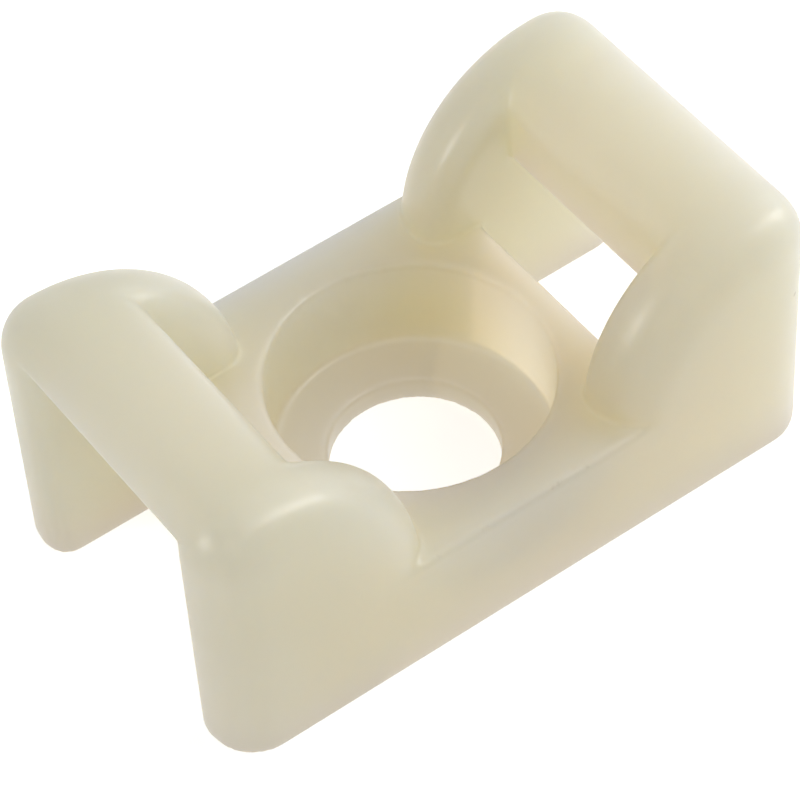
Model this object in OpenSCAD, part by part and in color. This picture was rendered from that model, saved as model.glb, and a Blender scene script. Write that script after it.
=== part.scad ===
// Saddle cable tie mount, screw fixed, moulded in one piece.
// Two rounded towers stand at the ends of a flat deck and cradle a bundle that
// lies across the mount. A tie runs over the deck and under the bridge of each
// tower; one screw through the recessed hole holds the mount down.
// The origin is the screw axis on the mounting face. X runs along the mount,
// Y across it, and Z points away from the mounting surface.

/* [Footprint] */
// Overall length, from tower end to tower end
mount_length = 21; // [20:0.5:30]
// Overall width across the cheeks
mount_width = 12; // [11:0.5:16]

/* [Deck] */
// Height of the deck that the screw clamps
deck_thickness = 4.25; // [3:0.25:4.75]
// Reach of the deck past the foot of the cheek flanks, up to the tie windows
deck_reach = 1.9; // [1.2:0.1:2.4]

/* [Screw seat] */
// Diameter of the screw's clearance hole
screw_hole_d = 5.2; // [3.2:0.1:6]
// Diameter of the recess for the screw head
head_recess_d = 8.6; // [7.5:0.1:9.4]
// Thickness of the shelf left under the screw head
shelf_thickness = 0.9; // [0.6:0.1:2]

/* [Towers] */
// Height of the tower crests above the mounting face
tower_height = 9.5; // [9:0.25:12]
// Thickness of each cheek
cheek_thickness = 2.5; // [2.25:0.25:3]
// Radius of the cheeks' outer edges
outer_edge_radius = 1.5; // [1:0.1:1.5]
// Radius of the cheeks' edges that face the tie slot
inner_edge_radius = 0.8; // [0.5:0.1:1]
// Radius of the cheek flank that faces the bundle
flank_radius = 5.7; // [5:0.1:6]
// Radius of the rounded end edge along the top of each tower
end_radius = 1.5; // [1.5:0.1:2]

/* [Bridges] */
// Distance from a tower's crest line in to the inner face of its bridge
bridge_set_in = 2.64; // [2.2:0.04:3]
// Height of the tie's passage between the deck and a bridge's lower edge
passage_height = 2.15; // [1.6:0.05:2.6]
// Drop from a tower's crest to the outer lip that the tie bends around
lip_drop = 1; // [0.7:0.1:1.3]
// Radius between a bridge's inner face and its crown
bridge_nose_radius = 1.45; // [1:0.05:2]

/* [Hidden] */
$fn = 96;
half_length = mount_length / 2;
half_width = mount_width / 2;
slot_half = half_width - cheek_thickness;
crest_y = half_width - outer_edge_radius;
// Centre of the flank arc and of the end arc, one above the other
crest_x = half_length - end_radius;
flank_z = tower_height - flank_radius;
end_z = tower_height - end_radius;
// The deck ends under the cheeks, at the tie windows
deck_half_length = crest_x - flank_radius + deck_reach;
// Centre of the arc that joins a bridge's inner face to the crown
bridge_inner_x = crest_x - bridge_set_in;
join_x = bridge_inner_x + bridge_nose_radius;
join_reach = flank_radius - bridge_nose_radius;
join_rise = sqrt(pow(join_reach, 2) - pow(crest_x - join_x, 2));
join_z = flank_z + join_rise;
join_angle = atan2(join_rise, join_x - crest_x);
// The lip lies on the end arc; the underside is an arc from the bridge's lower
// edge, where it is level, out and up to the lip
bridge_bottom_z = deck_thickness + passage_height;
lip_z = tower_height - lip_drop;
lip_angle = asin((lip_z - end_z) / end_radius);
lip_x = crest_x + end_radius * cos(lip_angle);
lip_run = lip_x - bridge_inner_x;
lip_rise = lip_z - bridge_bottom_z;
underside_radius = (pow(lip_run, 2) + pow(lip_rise, 2)) / (2 * lip_rise);
nylon = [0.86, 0.83, 0.72];
// Length by which a cutter runs past the faces it opens
past = 1;

// Sector of a disc that stands in the XZ plane about the origin, from y = 0 to
// width, with its rim rounded on the far side
module rim_sector(reach, width, radius, start, end) {
    rotate([90, 0, 0])
        mirror([0, 0, 1])
            rotate([0, 0, start])
                rotate_extrude(angle = end - start)
                    rounded_strip(reach, width, radius);
}

// Strip from x = 0 to reach and y = 0 to width with its far corner rounded
module rounded_strip(reach, width, radius) {
    difference() {
        square([reach, width]);
        translate([reach - radius, width - radius])
            difference() {
                square(radius + past);
                circle(r = radius);
            }
    }
}

// Half of a cheek, from its crest line y = 0 out to one side face. The flank's
// rim runs from the foot up to flank_end, the end's rim up to end_end.
module half_cheek(width, radius, flank_end, end_end) {
    translate([crest_x, 0, flank_z])
        rim_sector(flank_radius, width, radius, flank_end, 180);
    translate([crest_x, 0, end_z])
        rim_sector(end_radius, width, radius, 0, end_end);
    linear_extrude(flank_z)
        translate([crest_x, 0])
            mirror([1, 0])
                rounded_strip(flank_radius, width, radius);
    linear_extrude(end_z)
        translate([crest_x, 0])
            rounded_strip(end_radius, width, radius);
}

// Both cheeks of the tower at +X; on the bridge's side their rims are rounded
// only where the bridge leaves them free
module cheeks() {
    color(nylon)
        for (side = [0, 1])
            mirror([0, side, 0])
                translate([0, crest_y, 0]) {
                    half_cheek(outer_edge_radius, outer_edge_radius, 90, 90);
                    mirror([0, 1, 0]) {
                        half_cheek(crest_y - slot_half, inner_edge_radius, join_angle, lip_angle);
                        cheek_core(crest_y - slot_half);
                    }
                }
}

// Middle of a cheek's inner half, from the bottom up into the bridge
module cheek_core(width) {
    translate([join_x, 0, 0])
        cube([crest_x - join_x + (end_radius - inner_edge_radius) / 2, width, join_z]);
}

// Sector of a circle about the origin
module sector(radius, start, end) {
    far = 2 * radius;
    intersection() {
        circle(r = radius);
        polygon([[0, 0], far * [cos(start), sin(start)], far * [cos(end), sin(end)]]);
    }
}

// Section of a bridge in X and Z
module bridge_section() {
    intersection() {
        union() {
            translate([join_x, join_z])
                sector(bridge_nose_radius, join_angle, 180);
            translate([crest_x, flank_z])
                sector(flank_radius, 90, join_angle);
            translate([crest_x, end_z])
                sector(end_radius, 0, 90);
            polygon([
                [bridge_inner_x, flank_z],
                [bridge_inner_x, join_z],
                [join_x, join_z + bridge_nose_radius / 2],
                [crest_x, end_z],
                [half_length, end_z],
                [half_length, flank_z]
            ]);
        }
        // underside, level at the inner edge and rising to the lip
        translate([bridge_inner_x, bridge_bottom_z + underside_radius])
            circle(r = underside_radius);
    }
}

// The bridge that joins the cheeks of the tower at +X, from crest line to crest line
module bridge() {
    color(nylon)
        rotate([90, 0, 0])
            linear_extrude(2 * crest_y, center = true)
                bridge_section();
}

// Flat deck with the screw seat
module deck() {
    color(nylon)
        difference() {
            translate([-deck_half_length, -half_width, 0])
                cube([2 * deck_half_length, mount_width, deck_thickness]);
            translate([0, 0, -past])
                cylinder(d = screw_hole_d, h = deck_thickness + 2 * past);
            translate([0, 0, shelf_thickness])
                cylinder(d = head_recess_d, h = deck_thickness);
        }
}

module tie_mount() {
    deck();
    for (end = [0, 1])
        mirror([end, 0, 0]) {
            cheeks();
            bridge();
        }
}

tie_mount();
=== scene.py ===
"""Natural nylon saddle mount for a cable tie, on a pale table under soft studio light."""
from math import cos, radians, sin

import bpy
from mathutils import Matrix, Vector


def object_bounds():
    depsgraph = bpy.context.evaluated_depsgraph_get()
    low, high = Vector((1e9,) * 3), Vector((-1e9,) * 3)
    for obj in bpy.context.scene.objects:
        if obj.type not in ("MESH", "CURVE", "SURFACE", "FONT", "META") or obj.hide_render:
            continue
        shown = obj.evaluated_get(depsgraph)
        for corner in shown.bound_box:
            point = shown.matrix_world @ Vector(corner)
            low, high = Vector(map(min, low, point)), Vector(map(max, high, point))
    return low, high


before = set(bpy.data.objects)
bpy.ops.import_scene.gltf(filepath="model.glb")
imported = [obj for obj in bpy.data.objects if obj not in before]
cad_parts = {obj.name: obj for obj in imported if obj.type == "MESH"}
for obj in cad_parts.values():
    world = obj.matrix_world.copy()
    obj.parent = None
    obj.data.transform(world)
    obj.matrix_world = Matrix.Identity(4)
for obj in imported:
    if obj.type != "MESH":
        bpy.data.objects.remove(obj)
cad_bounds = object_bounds()


# ---------------------------------------------------------------------------
# The camera: a long lens above the mounting face, looking down on the saddle
# from the corner where -X meets -Y, with the mount a little askew in the frame.
MM = 0.001
view_azimuth = 57.127
view_elevation = 49.787
view_roll = radians(-4.172)
view_distance = 114.787 * MM
view_centre_right = -0.485 * MM
view_centre_up = 1.963 * MM
lens_length = 171.6
sensor_width = 36.0
nearest_seen = 1 * MM
farthest_seen = 10


def direction(azimuth, elevation):
    """Unit vector at an azimuth from +X and an angle above the table, in degrees."""
    level = cos(radians(elevation))
    return Vector((
        level * cos(radians(azimuth)),
        level * sin(radians(azimuth)),
        sin(radians(elevation)),
    ))


look = direction(view_azimuth, -view_elevation)
level_right = look.cross(Vector((0, 0, 1))).normalized()
level_up = level_right.cross(look)
camera_right = cos(view_roll) * level_right + sin(view_roll) * level_up
camera_up = cos(view_roll) * level_up - sin(view_roll) * level_right
camera_place = (
    view_centre_right * camera_right
    + view_centre_up * camera_up
    - view_distance * look
)

camera_data = bpy.data.cameras.new("camera")
camera_data.lens = lens_length
camera_data.sensor_width = sensor_width
camera_data.clip_start = nearest_seen
camera_data.clip_end = farthest_seen
camera = bpy.data.objects.new("camera", camera_data)
bpy.context.scene.collection.objects.link(camera)
camera_turn = Matrix((camera_right, camera_up, -look)).transposed()
camera.matrix_world = Matrix.Translation(camera_place) @ camera_turn.to_4x4()
bpy.context.scene.camera = camera


# ---------------------------------------------------------------------------
# The mount: one injection moulding in natural, uncoloured nylon, held down by a
# screw through the recess in its deck. The moulded skin is waxy and slightly
# translucent, with a faint grain from the tool and edges that are a little broken.
nylon_colour = (0.885, 0.742, 0.505, 1)
nylon_warm_colour = (0.89, 0.733, 0.505, 1)
nylon_cool_colour = (0.873, 0.75, 0.52, 1)
nylon_glow_spread = (1.0, 0.8, 0.55)
nylon_glow_depth = 20 * MM
nylon_refraction = 1.53
nylon_gloss_level = 0.5
mark_colour = (0.72, 0.57, 0.37, 1)

# clouds of tint, nicks on the deck's edges, tool grain and specks: a scale is in
# grains to the metre, and a span is the part of the noise that is read
cloud_scale = 130
cloud_detail = 2
cloud_span = (0.35, 0.65)
nick_scale = 1700
nick_detail = 4
nick_span = (0.56, 0.68)
grain_scale = 1200
grain_detail = 2
grain_span = (0.3, 0.7)
grain_roughness = (0.29, 0.37)
grain_height = 0.004 * MM
grain_strength = 0.6
speck_scale = 330
speck_reach = 0.035
speck_core = 0.015
deck_top = 4.25 * MM
deck_edge_half = 3.6 * MM
edge_band = 0.16 * MM

# the skin is drawn over again in small even faces, then eased at its edges
skin_weld = 0.001 * MM
skin_depth = 8
skin_scale = 0.68
edge_softening = 0.5
edge_softening_rounds = 12


def feed(tree, socket, value):
    """Links another node's output to a socket, or sets a plain value on it."""
    if isinstance(value, bpy.types.NodeSocket):
        tree.links.new(value, socket)
    else:
        socket.default_value = value


def maths(tree, operation, *values):
    """What a Math node makes of the values, which are outputs or numbers."""
    node = tree.nodes.new("ShaderNodeMath")
    node.operation = operation
    for socket, value in zip(node.inputs, values):
        feed(tree, socket, value)
    return node.outputs["Value"]


def map_range(tree, value, start, end, to_start=0.0, to_end=1.0):
    """Turns start to end into to_start to to_end, and holds those past either end."""
    node = tree.nodes.new("ShaderNodeMapRange")
    feed(tree, node.inputs["Value"], value)
    feed(tree, node.inputs["From Min"], start)
    feed(tree, node.inputs["From Max"], end)
    feed(tree, node.inputs["To Min"], to_start)
    feed(tree, node.inputs["To Max"], to_end)
    return node.outputs["Result"]


def noise(tree, place, scale, detail):
    """Noise all through the moulding, between 0 and 1."""
    node = tree.nodes.new("ShaderNodeTexNoise")
    feed(tree, node.inputs["Vector"], place)
    feed(tree, node.inputs["Scale"], scale)
    feed(tree, node.inputs["Detail"], detail)
    return node.outputs["Fac"]


def resin_tint(tree, place):
    """Slow clouds of warmer and cooler resin."""
    ramp = tree.nodes.new("ShaderNodeValToRGB")
    cool, warm = ramp.color_ramp.elements
    cool.position, warm.position = cloud_span
    cool.color = nylon_cool_colour
    warm.color = nylon_warm_colour
    middle = ramp.color_ramp.elements.new(sum(cloud_span) / 2)
    middle.color = nylon_colour
    feed(tree, ramp.inputs["Fac"], noise(tree, place, cloud_scale, cloud_detail))
    return ramp.outputs["Color"]


def edge_nicks(tree, place):
    """A few faint handling nicks along the deck's two long edges."""
    spot = tree.nodes.new("ShaderNodeSeparateXYZ")
    feed(tree, spot.inputs["Vector"], place)
    section = tree.nodes.new("ShaderNodeCombineXYZ")
    feed(tree, section.inputs["Y"], maths(tree, "ABSOLUTE", spot.outputs["Y"]))
    feed(tree, section.inputs["Z"], spot.outputs["Z"])
    from_edge = tree.nodes.new("ShaderNodeVectorMath")
    from_edge.operation = "DISTANCE"
    feed(tree, from_edge.inputs[0], section.outputs["Vector"])
    feed(tree, from_edge.inputs[1], (0, cad_bounds[1][1], deck_top))
    on_edge = map_range(tree, from_edge.outputs["Value"], edge_band, edge_band / 3)
    off_screw = maths(tree, "ABSOLUTE", spot.outputs["X"])
    between_cheeks = maths(tree, "LESS_THAN", off_screw, deck_edge_half)
    nicks = map_range(tree, noise(tree, place, nick_scale, nick_detail), *nick_span)
    edge = maths(tree, "MULTIPLY", on_edge, between_cheeks)
    return maths(tree, "MULTIPLY", edge, nicks)


def resin_specks(tree, place):
    """A dark speck here and there in the resin."""
    cells = tree.nodes.new("ShaderNodeTexVoronoi")
    feed(tree, cells.inputs["Vector"], place)
    feed(tree, cells.inputs["Scale"], speck_scale)
    return map_range(tree, cells.outputs["Distance"], speck_reach, speck_core)


def nylon_material():
    """Satin, slightly see-through nylon with its clouds of tint, marks and tool grain."""
    material = bpy.data.materials.new("natural_nylon")
    material.use_nodes = True
    tree = material.node_tree
    shader = tree.nodes["Principled BSDF"]
    shader.inputs["Subsurface Weight"].default_value = 1.0
    shader.inputs["Subsurface Radius"].default_value = nylon_glow_spread
    shader.inputs["Subsurface Scale"].default_value = nylon_glow_depth
    shader.inputs["IOR"].default_value = nylon_refraction
    shader.inputs["Specular IOR Level"].default_value = nylon_gloss_level
    place = tree.nodes.new("ShaderNodeTexCoord").outputs["Object"]

    marked = tree.nodes.new("ShaderNodeMix")
    marked.data_type = "RGBA"
    marks = maths(tree, "MAXIMUM", edge_nicks(tree, place), resin_specks(tree, place))
    feed(tree, marked.inputs["Factor"], marks)
    feed(tree, marked.inputs["A"], resin_tint(tree, place))
    feed(tree, marked.inputs["B"], mark_colour)
    feed(tree, shader.inputs["Base Color"], marked.outputs["Result"])

    # the tool's fine grain, in gloss and in relief
    grain = noise(tree, place, grain_scale, grain_detail)
    gloss = map_range(tree, grain, *grain_span, *grain_roughness)
    feed(tree, shader.inputs["Roughness"], gloss)
    relief = tree.nodes.new("ShaderNodeBump")
    relief.inputs["Strength"].default_value = grain_strength
    relief.inputs["Distance"].default_value = grain_height
    feed(tree, relief.inputs["Height"], grain)
    feed(tree, shader.inputs["Normal"], relief.outputs["Normal"])
    return material


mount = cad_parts["tie_mount"]
mount.data.materials.clear()
mount.data.materials.append(nylon_material())

# the mould's edges are all slightly broken, none is knife sharp
seams = mount.modifiers.new("closed_skin", "WELD")
seams.merge_threshold = skin_weld
skin = mount.modifiers.new("moulded_skin", "REMESH")
skin.mode = "SHARP"
skin.octree_depth = skin_depth
skin.scale = skin_scale
skin.use_remove_disconnected = False
skin.use_smooth_shade = True
softened = mount.modifiers.new("broken_edges", "CORRECTIVE_SMOOTH")
softened.smooth_type = "LENGTH_WEIGHTED"
softened.use_only_smooth = True
softened.factor = edge_softening
softened.iterations = edge_softening_rounds


# ---------------------------------------------------------------------------
# The table: a plain pale sheet that the mount lies on. It looks white to the
# lens and in reflections, and keeps the mount's soft shadow.
table_side = 2.0
table_gap = 0.02 * MM
table_colour = (0.86, 0.86, 0.86, 1)
table_roughness = 0.9
table_glow = 0.24
table_own_white = 0.72
table_lit_radius = (0.03, 0.25)


def shows_white(tree):
    """1 for a ray from the lens, a reflection or a see-through surface, else 0."""
    rays = tree.nodes.new("ShaderNodeLightPath").outputs
    direct = maths(tree, "MAXIMUM", rays["Is Camera Ray"], rays["Is Glossy Ray"])
    return maths(tree, "MAXIMUM", direct, rays["Is Transmission Ray"])


def table_material():
    """Matt white with a glow of its own: a faint one for the mount, full for the lens."""
    material = bpy.data.materials.new("table_white")
    material.use_nodes = True
    tree = material.node_tree
    shader = tree.nodes["Principled BSDF"]
    shader.inputs["Base Color"].default_value = table_colour
    shader.inputs["Roughness"].default_value = table_roughness
    shader.inputs["Specular IOR Level"].default_value = 0.0
    shader.inputs["Emission Color"].default_value = (1, 1, 1, 1)

    # the lamps light the table near the mount, so it needs less of its own there
    place = tree.nodes.new("ShaderNodeTexCoord").outputs["Object"]
    away = tree.nodes.new("ShaderNodeVectorMath")
    away.operation = "LENGTH"
    feed(tree, away.inputs[0], place)
    own_white = map_range(tree, away.outputs["Value"], *table_lit_radius, table_own_white)
    strength = map_range(tree, shows_white(tree), 0, 1, table_glow, own_white)
    feed(tree, shader.inputs["Emission Strength"], strength)
    return material


table_mesh = bpy.data.meshes.new("table")
half_table = table_side / 2
table_corners = [
    (half_table * x, half_table * y, -table_gap)
    for x, y in ((-1, -1), (1, -1), (1, 1), (-1, 1))
]
table_mesh.from_pydata(table_corners, [], [(0, 1, 2, 3)])
table = bpy.data.objects.new("table", table_mesh)
bpy.context.scene.collection.objects.link(table)
table.data.materials.append(table_material())


# ---------------------------------------------------------------------------
# The lamps: two narrow softboxes, one at each end of the mount, whose glints
# show on the rims of the cheeks, and broad weak ones that fill in all round.
lamp_distance = 0.30


def softbox(name, azimuth, elevation, width, height, watts, tilt=0):
    """A flat lamp that faces the screw hole, turned about its own axis by tilt."""
    lamp_data = bpy.data.lights.new(name, "AREA")
    lamp_data.shape = "RECTANGLE"
    lamp_data.size = width
    lamp_data.size_y = height
    lamp_data.energy = watts
    lamp = bpy.data.objects.new(name, lamp_data)
    bpy.context.scene.collection.objects.link(lamp)
    towards = direction(azimuth, elevation)
    lamp.matrix_world = (
        Matrix.Translation(lamp_distance * towards)
        @ towards.to_track_quat("Z", "Y").to_matrix().to_4x4()
        @ Matrix.Rotation(radians(tilt), 4, "Z")
    )


softbox("strip_right", -28, 39, width=0.06, height=0.24, watts=0.31, tilt=45)
softbox("strip_left", 170, 23, width=0.05, height=0.10, watts=0.16)
softbox("fill_plus_x", 2, 36, width=0.32, height=0.34, watts=0.45)
softbox("fill_minus_x", 160, 32, width=0.28, height=0.24, watts=0.075)
softbox("fill_back", 88, 30, width=0.25, height=0.20, watts=0.08)
softbox("fill_front", 235, 35, width=0.28, height=0.24, watts=0.07)
softbox("top", 0, 88, width=0.25, height=0.25, watts=0.06)


# ---------------------------------------------------------------------------
# The room: it sheds no light of its own, and past the table it looks plain
# white to the lens and in reflections.
room = bpy.data.worlds.new("room")
bpy.context.scene.world = room
room.use_nodes = True
room_tree = room.node_tree
room_light = room_tree.nodes["Background"]
room_light.inputs["Color"].default_value = (1, 1, 1, 1)
room_light.inputs["Strength"].default_value = 0.0
room_white = room_tree.nodes.new("ShaderNodeBackground")
room_white.inputs["Color"].default_value = (1, 1, 1, 1)
room_white.inputs["Strength"].default_value = 1.0
room_mix = room_tree.nodes.new("ShaderNodeMixShader")
feed(room_tree, room_mix.inputs["Fac"], shows_white(room_tree))
feed(room_tree, room_mix.inputs[1], room_light.outputs["Background"])
feed(room_tree, room_mix.inputs[2], room_white.outputs["Background"])
feed(room_tree, room_tree.nodes["World Output"].inputs["Surface"], room_mix.outputs["Shader"])

bpy.context.scene.view_settings.view_transform = "Standard"
